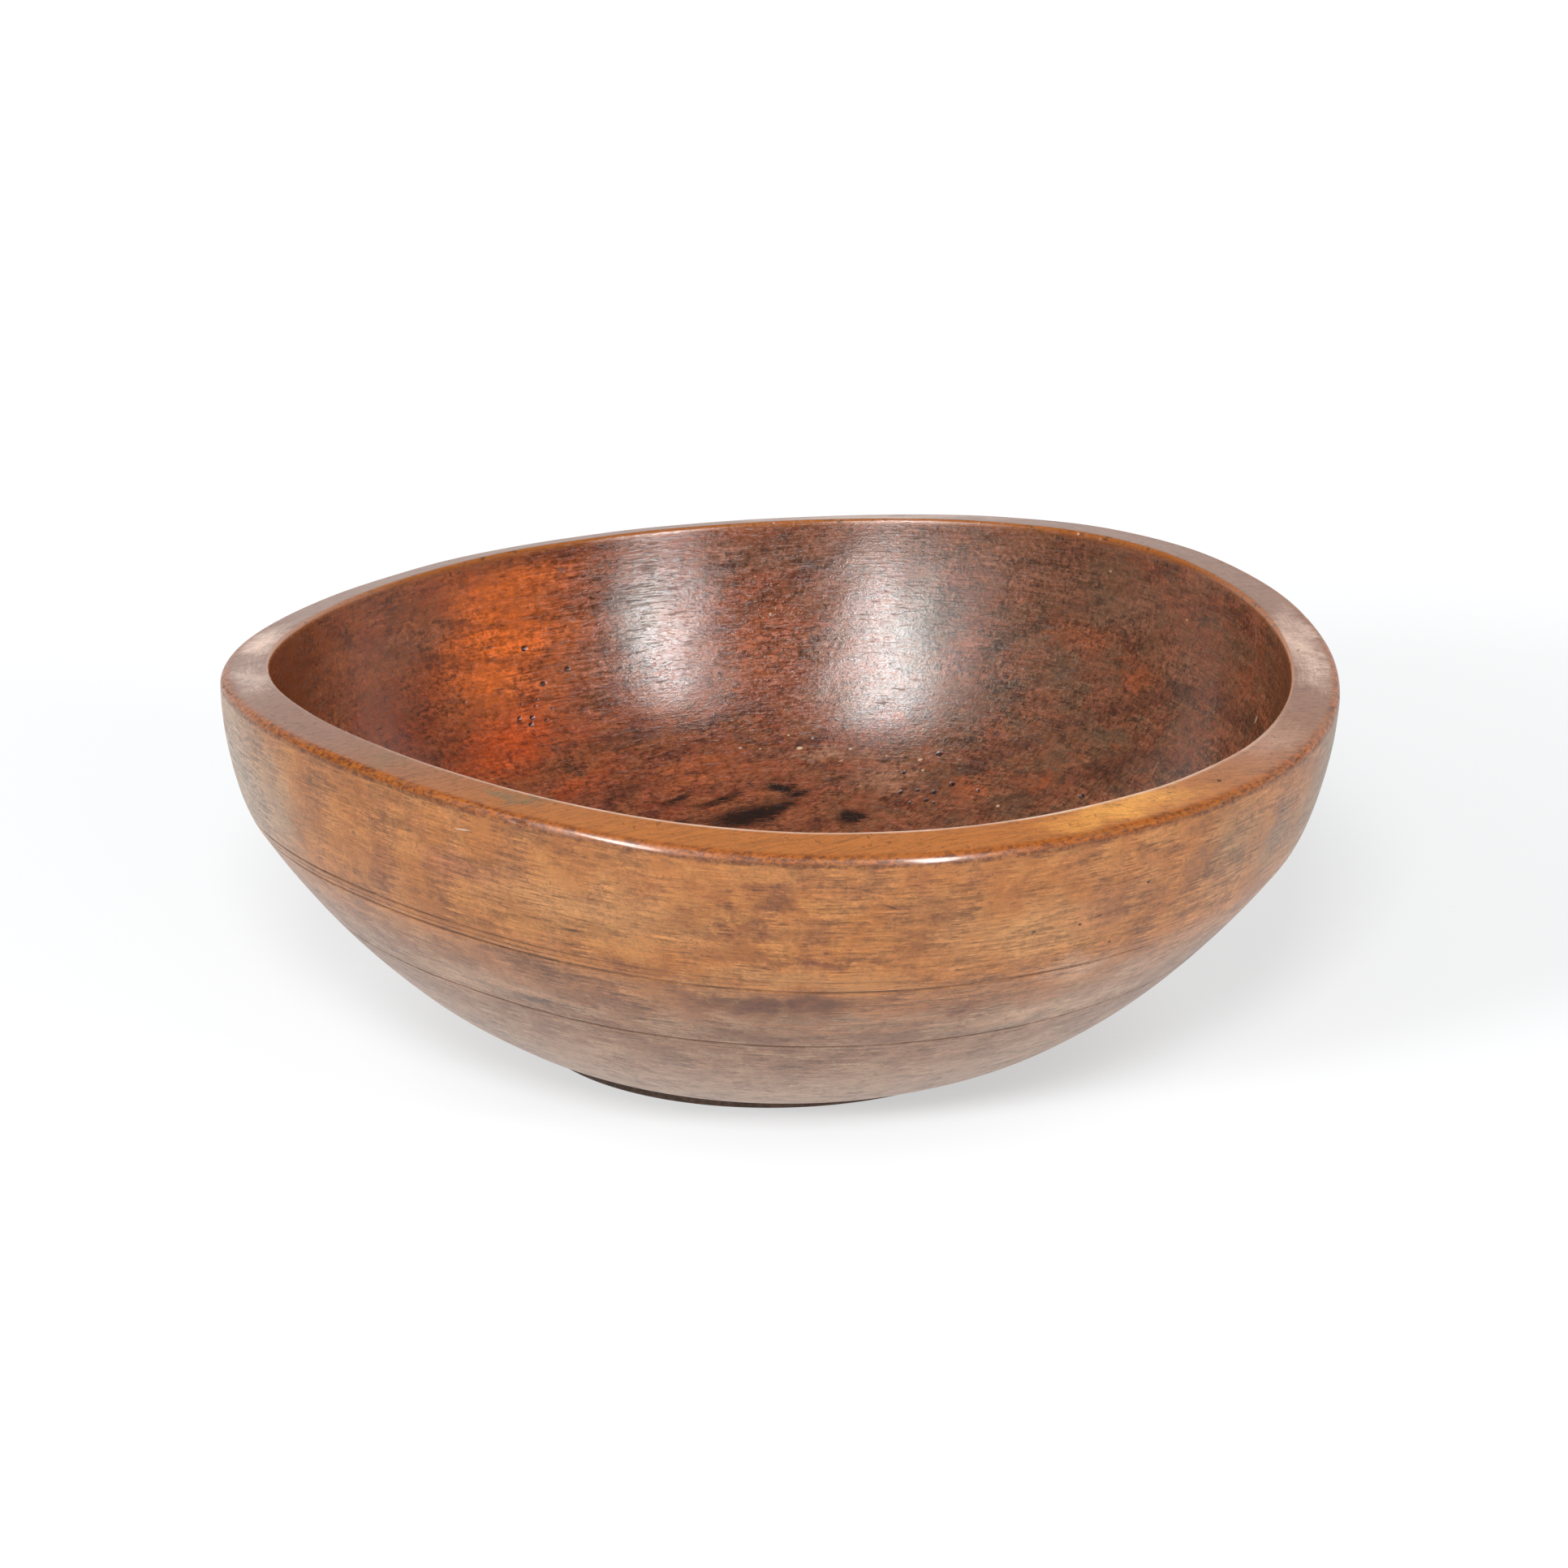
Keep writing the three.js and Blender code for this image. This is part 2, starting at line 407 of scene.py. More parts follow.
# Nicks and chips: shallow ovals
chip = np.zeros(len(r))
for nick_angle, nick_run, long, wide, deep in nicks:
    centre = np.array(spot(nick_angle, nick_run))
    off = turned_place - centre
    level = off @ np.array([-sin(radians(nick_angle)), cos(radians(nick_angle)), 0])
    rest = np.sqrt(np.maximum((off ** 2).sum(1) - level ** 2, 0))
    hollow = np.clip(1 - (level / long) ** 2 - (rest / wide) ** 2, 0, 1)
    depth = np.maximum(depth, deep * hollow ** 0.7)
    chip = np.maximum(chip, hollow * min(1, deep / 0.2))
keep_values("chip", chip)

# Wear and tool ridges: the wall is uneven by a tenth of a millimetre or two, and level ridges a few
# hundredths high run round it, which break up what shines in it. The inside has closer humps too.
ridge_gap = 2.1
on_wall = np.clip((z - 4) / 20, 0, 1)
depth += on_wall * 0.12 * (1 + slow_waves(turned_place, 60, 11))
ridge_runs = np.arange(0, run[-1], ridge_gap)
swell_runs = ridge_runs[::5]
ridges = np.interp(places_run, ridge_runs, chance.uniform(0, 1, len(ridge_runs)))
swells = np.interp(places_run, swell_runs, chance.uniform(0, 1, len(swell_runs)))
depth += on_wall * (0.035 * ridges * (0.7 + 0.5 * slow_waves(turned_place, 80, 17)) + 0.09 * swells)
inner_wall = np.clip((places_run - inner_arris - 4) / 12, 0, 1)
depth += inner_wall * 0.055 * (1.5 + slow_waves(turned_place, 13, 23))

r_now = np.maximum(r + inward_r * depth, 0)
z_now = z + inward_z * depth
inside_share = (places_run - starts["rim top"]) / (starts["inner corner"] - starts["rim top"])
places = seasoned(angle, r_now, z_now, np.clip(inside_share, 0, 1)) * millimetre

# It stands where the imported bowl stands, inside its box.
low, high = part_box("bowl")
own_low = places.min(0)
own_high = places.max(0)
for axis in range(2):
    own_middle = (own_low[axis] + own_high[axis]) / 2
    fit = min(1, (high[axis] - low[axis]) / (own_high[axis] - own_low[axis]))
    places[:, axis] = (places[:, axis] - own_middle) * fit + (low[axis] + high[axis]) / 2
places[:, 2] *= min(1, high[2] / own_high[2])
turned_mesh.vertices.foreach_set("co", places.astype(np.float32).ravel())
keep_values("turned", turned_place, "FLOAT_VECTOR", "vector")
turned_mesh.shade_smooth()
turned_mesh.update()
turned_bowl = stood("turned_bowl", turned_mesh)
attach(turned_bowl, "root")
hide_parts("bowl")


# The finish
# Waxed and handled for a century and more: dark, glossy and reddish inside, where the wood took up
# fat and smoke, and honey-coloured outside. Grain, tool lines, stains and wear lie in the block.


def colour(code):
    """A colour from its six hexadecimal digits, as the shader wants it."""
    shares = [int(code[start:start + 2], 16) / 255 for start in (0, 2, 4)]
    linear = [s / 12.92 if s <= 0.04045 else ((s + 0.055) / 1.055) ** 2.4 for s in shares]
    return (*linear, 1)


def give(socket, value):
    """Links an output to a socket, or sets the socket to a plain value."""
    if isinstance(value, bpy.types.NodeSocket):
        socket.id_data.links.new(value, socket)
    else:
        socket.default_value = value


def tree_of(*values):
    """The node tree that the outputs among some values belong to."""
    return next(value.id_data for value in values if isinstance(value, bpy.types.NodeSocket))


def put(tree, kind, options=None, **inputs):
    """Adds a node, sets its options, and fills or links the inputs that are named."""
    made = tree.nodes.new("ShaderNode" + kind)
    for option, value in (options or {}).items():
        setattr(made, option, value)
    for name, value in inputs.items():
        give(made.inputs[name.replace("_", " ")], value)
    return made


def sums(operation, *values):
    """One step of arithmetic with one, two or three numbers."""
    made = put(tree_of(*values), "Math", {"operation": operation})
    for socket, value in zip(made.inputs, values):
        give(socket, value)
    return made.outputs[0]


def times(*values):
    """The product of two or more numbers."""
    total = values[0]
    for value in values[1:]:
        total = sums("MULTIPLY", total, value)
    return total


def weighed(*pairs):
    """The sum of values, each with its own weight."""
    total = 0.0
    for value, weight in pairs:
        total = sums("MULTIPLY_ADD", value, weight, total)
    return total


def vectors(operation, *values):
    """The same step with vectors; a length, a distance or a dot product comes out as a number."""
    made = put(tree_of(*values), "VectorMath", {"operation": operation})
    for socket, value in zip(made.inputs, values):
        give(socket, value)
    return made.outputs["Value" if operation in ("LENGTH", "DISTANCE", "DOT_PRODUCT") else "Vector"]


def scaled(vector, size):
    """A vector made longer or shorter by a number."""
    made = put(tree_of(vector, size), "VectorMath", {"operation": "SCALE"}, Scale=size)
    give(made.inputs[0], vector)
    return made.outputs["Vector"]


def spread(value, low, high, to_low=0.0, to_high=1.0, smooth=True):
    """Stretches the part of a value between two limits, and holds it level outside them."""
    options = {"interpolation_type": "SMOOTHSTEP" if smooth else "LINEAR"}
    made = put(tree_of(value), "MapRange", options, Value=value, From_Min=low, From_Max=high,
               To_Min=to_low, To_Max=to_high)
    return made.outputs["Result"]


def blended(share, first, second, how="MIX"):
    """Mixes a second colour into a first."""
    made = put(tree_of(share, first), "Mix", {"data_type": "RGBA", "blend_type": how})
    for number, value in ((0, share), (6, first), (7, second)):
        give(made.inputs[number], colour(value) if isinstance(value, str) else value)
    return made.outputs[2]


def mottle(place, scale, detail, rough, warp=0.0):
    """Cloudy noise at a place, from 0 to 1."""
    made = put(tree_of(place), "TexNoise", None, Vector=place, Scale=scale, Detail=detail,
               Roughness=rough, Distortion=warp)
    return made.outputs["Fac"]


def group(name, inputs, outputs):
    """Starts a shader node group with named inputs and outputs."""
    tree = bpy.data.node_groups.new(name, "ShaderNodeTree")
    for title, kind, value in inputs:
        socket = tree.interface.new_socket(name=title, in_out="INPUT", socket_type="NodeSocket" + kind)
        socket.default_value = value
    for title, kind in outputs:
        tree.interface.new_socket(name=title, in_out="OUTPUT", socket_type="NodeSocket" + kind)
    return tree, tree.nodes.new("NodeGroupInput").outputs, tree.nodes.new("NodeGroupOutput").inputs


def stored(tree, name, output="Fac"):
    """A value that the mesh stores at each place."""
    return put(tree, "Attribute", {"attribute_name": name}).outputs[output]


# Grain: bands round the heart of the tree, which lay below the block and to one side, fibres that
# run across the bowl, the short dark pores between them, and clouds where more smoke went in.
grain_tree, _, grain_out = group("wood_grain", [], [
    ("Bands", "Float"), ("Fibre", "Float"), ("Pores", "Float"),
    ("Clouds", "Float"), ("Grime", "Float"), ("Speckle", "Float")])
block = stored(grain_tree, "turned", "Vector")
turned_back = put(grain_tree, "VectorRotate", {"rotation_type": "Z_AXIS"}, Vector=block, Angle=-grain)
laid = turned_back.outputs[0]
waver = put(grain_tree, "TexNoise", None, Vector=laid, Scale=0.02, Detail=2).outputs["Color"]
wavy = vectors("ADD", laid, vectors("MULTIPLY", waver, (0, 16, 16)))
heart = vectors("ADD", wavy, (0, 35, 70))
ring_place = vectors("LENGTH", vectors("MULTIPLY", heart, (0, 1, 1)))
bands = put(grain_tree, "TexNoise", {"noise_dimensions": "1D"}, W=ring_place, Scale=0.085, Detail=3)
give(grain_out["Bands"], bands.outputs["Fac"])
long_fibres = vectors("MULTIPLY", wavy, (0.04, 1, 1))
give(grain_out["Fibre"], mottle(long_fibres, 0.9, 4, 0.65))
short_pores = vectors("MULTIPLY", wavy, (0.14, 1, 1))
give(grain_out["Pores"], spread(mottle(short_pores, 2.2, 2, 0.5), 0.6, 0.72))
give(grain_out["Clouds"], mottle(block, 0.045, 6, 0.65, 0.6))
give(grain_out["Grime"], mottle(block, 0.35, 5, 0.7, 0.5))
short_place = vectors("MULTIPLY", laid, (0.45, 1, 1))
give(grain_out["Speckle"], mottle(short_place, 0.75, 3, 0.75, 0.3))

# Tool lines: fine, broad and crisp, level round the bowl, and a place that they have dragged level,
# so that the edges of stains are streaky.
line_tree, _, line_out = group("tool_lines", [], [
    ("Fine", "Float"), ("Broad", "Float"), ("Crisp", "Float"), ("Dragged", "Vector")])
block = stored(line_tree, "turned", "Vector")
radial = vectors("NORMALIZE", vectors("MULTIPLY", block, (1, 1, 0)))
up_profile = put(line_tree, "CombineXYZ", None, Z=stored(line_tree, "run")).outputs[0]


def level_noise(length, scale, detail, rough, warp=0.0):
    """Noise that is drawn out level round the bowl: a longer length makes it shorter."""
    around = scaled(radial, length)
    place = vectors("ADD", around, up_profile)
    return mottle(place, scale, detail, rough, warp)


fine = level_noise(15, 1.2, 4, 0.65)
give(line_out["Fine"], fine)
give(line_out["Broad"], level_noise(20, 0.3, 4, 0.65))
give(line_out["Crisp"], spread(level_noise(22, 1.1, 3, 0.55, 0.3), 0.62, 0.7))
level_way = vectors("CROSS_PRODUCT", (0, 0, 1), radial)
drag = sums("MULTIPLY_ADD", fine, 44, -22)
cloud = put(line_tree, "TexNoise", None, Vector=block, Scale=0.06, Detail=5, Roughness=0.65)
pushed = vectors("MULTIPLY_ADD", cloud.outputs["Color"], (26, 26, 26), (-13, -13, -13))
dragged = vectors("ADD", vectors("ADD", block, pushed), scaled(level_way, drag))
give(line_out["Dragged"], dragged)

# One mark: a stain, worn patch, speck or scratch, as a soft oval round a centre.
mark_tree, mark_in, mark_out = group("mark", [
    ("Place", "Vector", (0, 0, 0)), ("Centre", "Vector", (0, 0, 0)), ("Long Way", "Vector", (1, 0, 0)),
    ("Length", "Float", 10), ("Width", "Float", 10), ("Softness", "Float", 0.5),
    ("Strength", "Float", 1)], [("Mask", "Float")])
off = vectors("SUBTRACT", mark_in["Place"], mark_in["Centre"])
lengthwise = vectors("DOT_PRODUCT", off, mark_in["Long Way"])
aside = vectors("LENGTH", vectors("SUBTRACT", off, scaled(mark_in["Long Way"], lengthwise)))
both = put(mark_tree, "CombineXYZ", None, X=sums("DIVIDE", lengthwise, mark_in["Length"]),
           Y=sums("DIVIDE", aside, mark_in["Width"])).outputs[0]
inner = sums("SUBTRACT", 1, mark_in["Softness"])
mask = spread(vectors("LENGTH", both), inner, 1, 1, 0)
give(mark_out["Mask"], times(mask, mark_in["Strength"]))


def strongest_mark(place, soft, rows):
    """The greatest mask of marks: centre, long way, half length, half width, strength."""
    total = 0.0
    for centre, way, long, wide, strength in rows:
        mask = put(tree_of(place), "Group", {"node_tree": mark_tree}, Place=place, Centre=centre,
                   Long_Way=way, Length=long, Width=wide, Softness=soft, Strength=strength)
        total = sums("MAXIMUM", total, mask.outputs[0])
    return total


def marks(place, soft, rows):
    """The mask of marks: angle, run, half length, half width, tilt from level, strength."""
    placed = []
    for angle, row_run, long, wide, tilt, strength in rows:
        level = Vector((-sin(radians(angle)), cos(radians(angle)), 0))
        climb = (spot(angle, row_run + 1) - spot(angle, row_run - 1)).normalized()
        way = cos(radians(tilt)) * level + sin(radians(tilt)) * climb
        placed.append((spot(angle, row_run), way, long, wide, strength))
    return strongest_mark(place, soft, placed)


def scratches(place, rows):
    """The mask of thin lines: angle and run of both ends, half width, strength."""
    placed = []
    for start_angle, start_run, end_angle, end_run, wide, strength in rows:
        first = spot(start_angle, start_run)
        last = spot(end_angle, end_run)
        way = (last - first).normalized()
        placed.append(((first + last) / 2, way, (last - first).length / 2, wide, strength))
    return strongest_mark(place, 0.7, placed)


def laid_over(tone, place, wear_and_sheen):
    """Lays worn and stained patches, and patches of painted sheen, over a colour: their colour and
    their marks.
    """
    for code, rows in wear_and_sheen:
        tone = blended(marks(place, 1.0, rows), tone, code)
    return tone


def grey(lift):
    """A number as a colour."""
    made = put(tree_of(lift), "CombineColor", None, Red=lift, Green=lift, Blue=lift)
    return made.outputs[0]


def shaded(tone, lift):
    """Multiplies a colour by a number."""
    return blended(1.0, tone, grey(lift), "MULTIPLY")


def finish_of(mesh, name, shine):
    """Gives a mesh a new material: its tree and its shader's inputs."""
    made = bpy.data.materials.new(name)
    made.use_nodes = True
    mesh.materials.append(made)
    shader = made.node_tree.nodes["Principled BSDF"].inputs
    shader["Specular IOR Level"].default_value = shine
    return made.node_tree, shader


def shared_patterns(tree):
    """The grain and the tool lines, for one material."""
    return [put(tree, "Group", {"node_tree": pattern}).outputs for pattern in (grain_tree, line_tree)]


def roughened(height, strength):
    """A bump that makes a surface uneven by up to a quarter of a millimetre."""
    return put(tree_of(height), "Bump", None, Strength=strength, Distance=0.25 * millimetre,
               Height=height)


# Inside: orange where the polish glows on the left, browner and mottled with red on the right, and
# stained in the middle of the floor.
tree, shader = finish_of(turned_mesh, "inside_wood", 1.0)
figure, lines = shared_patterns(tree)
block = stored(tree, "turned", "Vector")
dragged = lines["Dragged"]
to_right = spread(vectors("DOT_PRODUCT", block, (0.86, 0.1, 0)), -30, 90)
tone = blended(to_right, "9A5229", "8A5536")
smoked = spread(figure["Clouds"], 0.42, 0.66)
tone = blended(times(smoked, 0.4), tone, "633A22")
patches = mottle(dragged, 0.085, 5, 0.7)
red_share = sums("MULTIPLY_ADD", to_right, -0.25, 0.55)
tone = blended(times(spread(patches, 0.5, 0.55), red_share), tone, "93402A")
grey_share = times(spread(patches, 0.43, 0.49, 1, 0), to_right, 0.65)
tone = blended(grey_share, tone, "5F4C38")
fine_patches = mottle(dragged, 0.3, 4, 0.7)
tone = blended(times(spread(fine_patches, 0.53, 0.58), 0.5), tone, "A96E50")
tone = blended(times(spread(fine_patches, 0.41, 0.46, 1, 0), 0.5), tone, "4A2E20")

# Worn, stained and darker patches, grey painted sheen under and beside the window reflections, and dark
# streaks round the stain
wear_and_sheen = [
    ("90624A", [(97, 322, 40, 14, 0, 0.8), (84, 322, 50, 16, 0, 0.8), (63, 326, 40, 18, 0, 0.8),
                (45, 335, 30, 16, 0, 0.6), (35, 350, 26, 16, 0, 0.5), (146, 335, 40, 12, 0, 0.5)]),
    ("50280A", [(176, 330, 75, 62, 0, 0.9)]),
    ("5C341C", [(4, 325, 45, 40, 0, 0.8), (39, 398, 22, 11, 0, 0.7)]),
    ("84350E", [(152, 372, 60, 40, 20, 0.75), (150, 392, 50, 14, 10, 0.6)]),
    # Grey painted sheen under and beside the two window reflections.
    ("6C5C48", [(112, 345, 16, 34, 0, 0.75), (76, 352, 18, 36, 0, 0.85), (52, 340, 40, 40, 0, 0.35)]),
    ("EC7428", [(131, 348, 50, 44, 10, 1.0), (130, 325, 54, 18, 0, 0.8)]),
    ("D0561C", [(134, 386, 44, 20, 12, 0.95), (122, 387, 20, 10, 0, 0.3), (126, 412, 34, 7, 24, 0.5)]),
    ("AE5A2E", [(97, 357, 24, 34, 0, 0.8), (106, 414, 40, 12, 6, 0.85), (52, 351, 26, 10, 0, 0.6),
                (42, 358, 16, 10, 0, 0.6), (61, 421, 16, 9, 15, 0.7), (48, 411, 14, 8, 20, 0.8)]),
    ("A9775A", [(76, 420, 28, 12, 0, 0.7), (86, 409, 40, 5, 0, 0.75)]),
    ("5E4C39", [(45, 385, 28, 9, 0, 0.7), (63, 379, 24, 11, 0, 0.55), (30, 372, 18, 8, 0, 0.4)]),
]
tone = laid_over(tone, dragged, wear_and_sheen)
dark_streaks = marks(dragged, 0.9, [
    (117, 393, 26, 6, 12, 0.75), (112, 407, 24, 4, 24, 0.7), (124, 424, 30, 6, 26, 0.7),
    (100, 398, 26, 3, 3, 0.5), (84, 399, 26, 3, -3, 0.4), (66, 402, 22, 3, -6, 0.4),
    (116, 433, 26, 4, 20, 0.6), (104, 422, 20, 3, 14, 0.5), (92, 401.5, 46, 3, 0, 0.8)])
tone = blended(dark_streaks, tone, "54291F")

# Streaks and grain, livelier where more smoke went in
streaks = weighed((figure["Fibre"], 0.15), (lines["Fine"], 0.13), (figure["Speckle"], 0.25),
                  (lines["Broad"], 0.15), (figure["Grime"], 0.32))
lively = spread(figure["Clouds"], 0.38, 0.6, 0.65, 1.5)
streaks = sums("MULTIPLY_ADD", sums("SUBTRACT", streaks, 0.5), lively, 0.5)
tone = shaded(tone, spread(streaks, 0.42, 0.58, 0.42, 1.58, smooth=False))
grain_dark = times(spread(figure["Bands"], 0.5, 0.66), spread(figure["Clouds"], 0.3, 0.6))
tone = blended(times(grain_dark, 0.4), tone, "4C2A20")
tone = blended(times(figure["Pores"], 0.35), tone, "3A2218")
tone = blended(times(lines["Crisp"], 0.5), tone, "3C1C10")
brushed = times(spread(lines["Fine"], 0.5, 0.6),
                marks(dragged, 1.0, [(114, 330, 34, 24, 0, 1.0), (86, 330, 40, 20, 0, 0.7)]))
tone = blended(times(brushed, 0.6), tone, "3C281A")

# Pale scratches and dark hairlines
scuffed = scratches(block, [
    (57.3, 392, 60.6, 411.8, 0.35, 0.7), (60.6, 411.8, 64.1, 441, 0.35, 0.8),
    (31, 384, 30, 393, 0.35, 0.6), (20.4, 314.6, 19.5, 325.8, 0.4, 0.8),
    (9.1, 314.7, 10.2, 319.9, 0.4, 0.4), (101.8, 440.8, 98.7, 437.6, 0.3, 0.6),
    (72, 352, 78, 372, 0.25, 0.4), (66, 340, 60, 366, 0.25, 0.35), (54, 345, 48, 352, 0.25, 0.4),
    (50, 338, 44, 361, 0.25, 0.3), (112, 342, 109, 352, 0.25, 0.35)])
tone = blended(scuffed, tone, "C99A80")
hairs = scratches(block, [
    (92, 335, 89.3, 341.2, 0.3, 0.8), (89.3, 341.2, 88.1, 346.9, 0.3, 0.8),
    (74, 330, 71, 349, 0.3, 0.4), (58, 322, 66, 346, 0.3, 0.4), (36, 342, 47, 349, 0.3, 0.4),
    (60, 372, 50, 380, 0.3, 0.35)])
tone = blended(hairs, tone, "2E1A14")

# The dark stain on the floor, with ragged edges, and pale specks
stain_place = vectors("ADD", scaled(dragged, 0.3), scaled(block, 0.7))
stained = marks(stain_place, 1.0, [
    (98.5, 440.5, 27, 8.5, 16, 1.0), (93.5, 436.5, 13, 5.5, 22, 0.9), (93.4, 425.6, 11, 3.8, 0, 1.0),
    (90.3, 428.8, 8, 3.2, 10, 0.9), (79.8, 443, 10, 6.5, 0, 0.95), (104, 431, 16, 3.2, 22, 0.75),
    (118, 446, 30, 4.5, 18, 0.8), (84, 421, 8, 2.6, 10, 0.6), (68.7, 406.6, 3.5, 1.8, 0, 0.9),
    (112, 428, 12, 2.6, 22, 0.65)])
rag = weighed((figure["Grime"], 1.6), (lines["Fine"], 2.0), (figure["Speckle"], 1.4),
              (stained, 1.1), (1.0, -2.3))
stained = times(spread(rag, 0.1, 0.95, smooth=False), spread(stained, 0, 0.2))
tone = blended(times(stained, 0.96), tone, "1E110C")
specks = marks(block, 0.5, [
    (88.9, 401, 0.7, 0.5, 0, 0.8), (92.5, 399.2, 0.7, 0.6, 0, 0.8), (99.7, 404.2, 0.8, 0.6, 0, 0.7),
    (96.7, 405.2, 0.7, 0.5, 0, 0.7), (90.7, 405.6, 1.6, 1.0, 0, 0.9), (82.9, 406.2, 1.0, 0.6, 0, 0.7),
    (71.4, 410, 1.3, 0.8, 20, 0.8), (70.3, 415, 0.9, 0.7, 0, 0.7), (95.4, 347.3, 0.6, 1.0, 0, 0.8),
    (53.5, 427, 1.0, 0.8, 0, 0.8), (50.4, 322.6, 0.8, 0.6, 0, 0.6), (36.3, 331.5, 0.8, 0.6, 0, 0.7),
    (14.1, 346.7, 0.8, 2.0, 0, 0.9), (84, 412, 1.4, 0.5, 30, 0.5), (77, 409, 0.6, 0.4, 0, 0.6)])
tone = blended(specks, tone, "E8C8A0")

# The rim's inner corner, painted shade in the holes, and dirt in the chips
corner = spread(stored(tree, "run"), inner_arris, inner_arris + 3.4, 1, 0)
corner_tone = blended(spread(figure["Grime"], 0.55, 0.7), "AF6426", "3F2416")
tone = blended(corner, tone, corner_tone)
# Painted shade inside the beetle holes, and dirt in the chips.
hole_shade_and_chip_dirt = sums("MAXIMUM", stored(tree, "pit"), times(stored(tree, "chip"), 0.5))
tone = blended(hole_shade_and_chip_dirt, tone, "40160A")
give(shader["Base Color"], tone)

# The polish, and a swell under the rim that leans what shines there: steepest at the rim
swell_reach = 60
swell_slope = 0.15
near_top = spread(stored(tree, "run"), inner_arris + 6, inner_arris + 42, 1, 0)
below_top = spread(stored(tree, "run"), inner_arris, inner_arris + swell_reach, 0, swell_reach,
                   smooth=False)
slope_left = sums("MULTIPLY_ADD", below_top, -swell_slope / (2 * swell_reach), swell_slope)
swell = times(below_top, slope_left)
sheen = weighed((lines["Fine"], 0.55), (figure["Speckle"], 0.45))
dull = weighed((spread(sheen, 0.4, 0.6, 0.09, 0.26), 1), (near_top, 0.03),
               (spread(figure["Grime"], 0.6, 0.75), 0.1), (stained, -0.05),
               (lines["Crisp"], 0.2), (figure["Pores"], 0.1), (brushed, 0.16),
               (stored(tree, "pit"), 0.3))
give(shader["Roughness"], dull)
height = weighed((lines["Fine"], 0.8), (figure["Speckle"], 1.0), (figure["Grime"], 0.6),
                 (lines["Crisp"], -0.6), (figure["Pores"], -0.5))
bump = roughened(height, 0.36)
give(bump.inputs["Normal"], put(tree, "Bump", None, Distance=millimetre, Height=swell).outputs[0])
give(shader["Normal"], bump.outputs[0])

# Outside, rim and foot: honey on the band and on the rim's front, with painted sheen on the rest of
# the rim top, greyer and streakier on the body, paler low down where the floor's reflection is
# painted in, dark in every line and chip, with painted shade in every hole and on the foot, and
# worn to bare orange wood along the rim's corner.
tree, shader = finish_of(turned_mesh, "outside_wood", 0.45)
figure, lines = shared_patterns(tree)
block = stored(tree, "turned", "Vector")
dragged = lines["Dragged"]
profile_place = stored(tree, "run")
streaky_place = weighed((profile_place, 1), (lines["Broad"], 30))
honey_share = spread(streaky_place, bend_run - 22, bend_run + 26)
tone = blended(honey_share, "946B50", "B37038")
# Paler and greyer low on the body and underneath: the wood's own paler tone, with the floor's
# reflection painted in.
tone = blended(spread(profile_place, low_run - 50, low_run - 4, 0.7, 0), tone, "BC9A82")
tone = blended(times(spread(figure["Clouds"], 0.4, 0.66), 0.4), tone, "8A6044")
patches = mottle(dragged, 0.085, 5, 0.7)
on_band = spread(profile_place, bend_run - 24, bend_run + 6)
light_patch = blended(on_band, "AA8C72", "C4864A")
dark_patch = blended(on_band, "6B4D40", "7E4A2C")
tone = blended(times(spread(patches, 0.5, 0.58), 0.5), tone, light_patch)
tone = blended(times(spread(patches, 0.41, 0.49, 1, 0), 0.42), tone, dark_patch)

# Worn and stained patches, grey painted sheen at the band's left end, and streaks
wear_and_sheen = [
    # Grey painted sheen at the band's left end.
    ("AE9A86", [(-160, 262, 66, 60, 0, 0.85)]),
    ("786A58", [(-8, 268, 60, 50, 0, 0.85), (-27, 262, 20, 30, 0, 0.5)]),
    ("C08C5B", [(-106, 262, 70, 22, 0, 0.6), (-62, 258, 60, 20, 0, 0.6), (-84, 243, 60, 8, 0, 0.5)]),
    ("B89274", [(-127, 204, 34, 16, 0, 0.75), (-50, 205, 44, 16, 0, 0.8)]),
    ("C49C7E", [(-59, 208, 26, 10, 0, 0.95), (-54, 236, 24, 11, 0, 0.6), (-45, 223, 22, 10, 0, 0.65),
                (-118, 213, 34, 8, 0, 0.5)]),
    # More grey painted sheen towards the band's left end.
    ("9E9783", [(-147, 262, 30, 34, 0, 0.4)]),
    ("88765F", [(-36, 272, 28, 26, 0, 0.55), (-20, 262, 40, 30, 0, 0.3)]),
    ("8C5A46", [(-130, 255, 26, 16, 0, 0.3)]),
    ("9A5C44", [(-119, 267, 28, 11, 8, 0.6), (-104, 268, 20, 4, 0, 0.35), (-53, 262, 22, 12, 0, 0.45)]),
    ("623C28", [(-86, 226, 60, 12, 0, 0.95), (-88, 204, 40, 9, 0, 0.5), (-110, 228, 50, 7, 0, 0.6),
                (-82, 251.5, 30, 4, 0, 0.4), (-51, 262, 18, 12, 0, 0.45), (-43, 281, 12, 5, 0, 0.5),
                (-139, 270, 16, 18, 0, 0.3)]),
    ("7A6A5C", [(-80, 218, 22, 2.5, 0, 0.6), (-27, 263, 6, 24, 0, 0.5), (-60, 200, 40, 6, 0, 0.4),
                (-118, 205, 50, 6, 0, 0.4), (-91, 208.5, 6, 3, 0, 0.5)]),
    ("8C4F30", [(-98, 279, 60, 5, 0, 0.35), (-70, 283, 50, 4, 0, 0.3), (-84, 252, 34, 3, 0, 0.4)]),
]
tone = laid_over(tone, dragged, wear_and_sheen)
streaks = weighed((figure["Fibre"], 0.1), (lines["Fine"], 0.35), (figure["Speckle"], 0.15),
                  (lines["Broad"], 0.2), (figure["Grime"], 0.2))
lively = spread(figure["Clouds"], 0.38, 0.6, 0.5, 1.3)
streaks = sums("MULTIPLY_ADD", sums("SUBTRACT", streaks, 0.5), lively, 0.5)
tone = shaded(tone, spread(streaks, 0.42, 0.58, 0.58, 1.42, smooth=False))

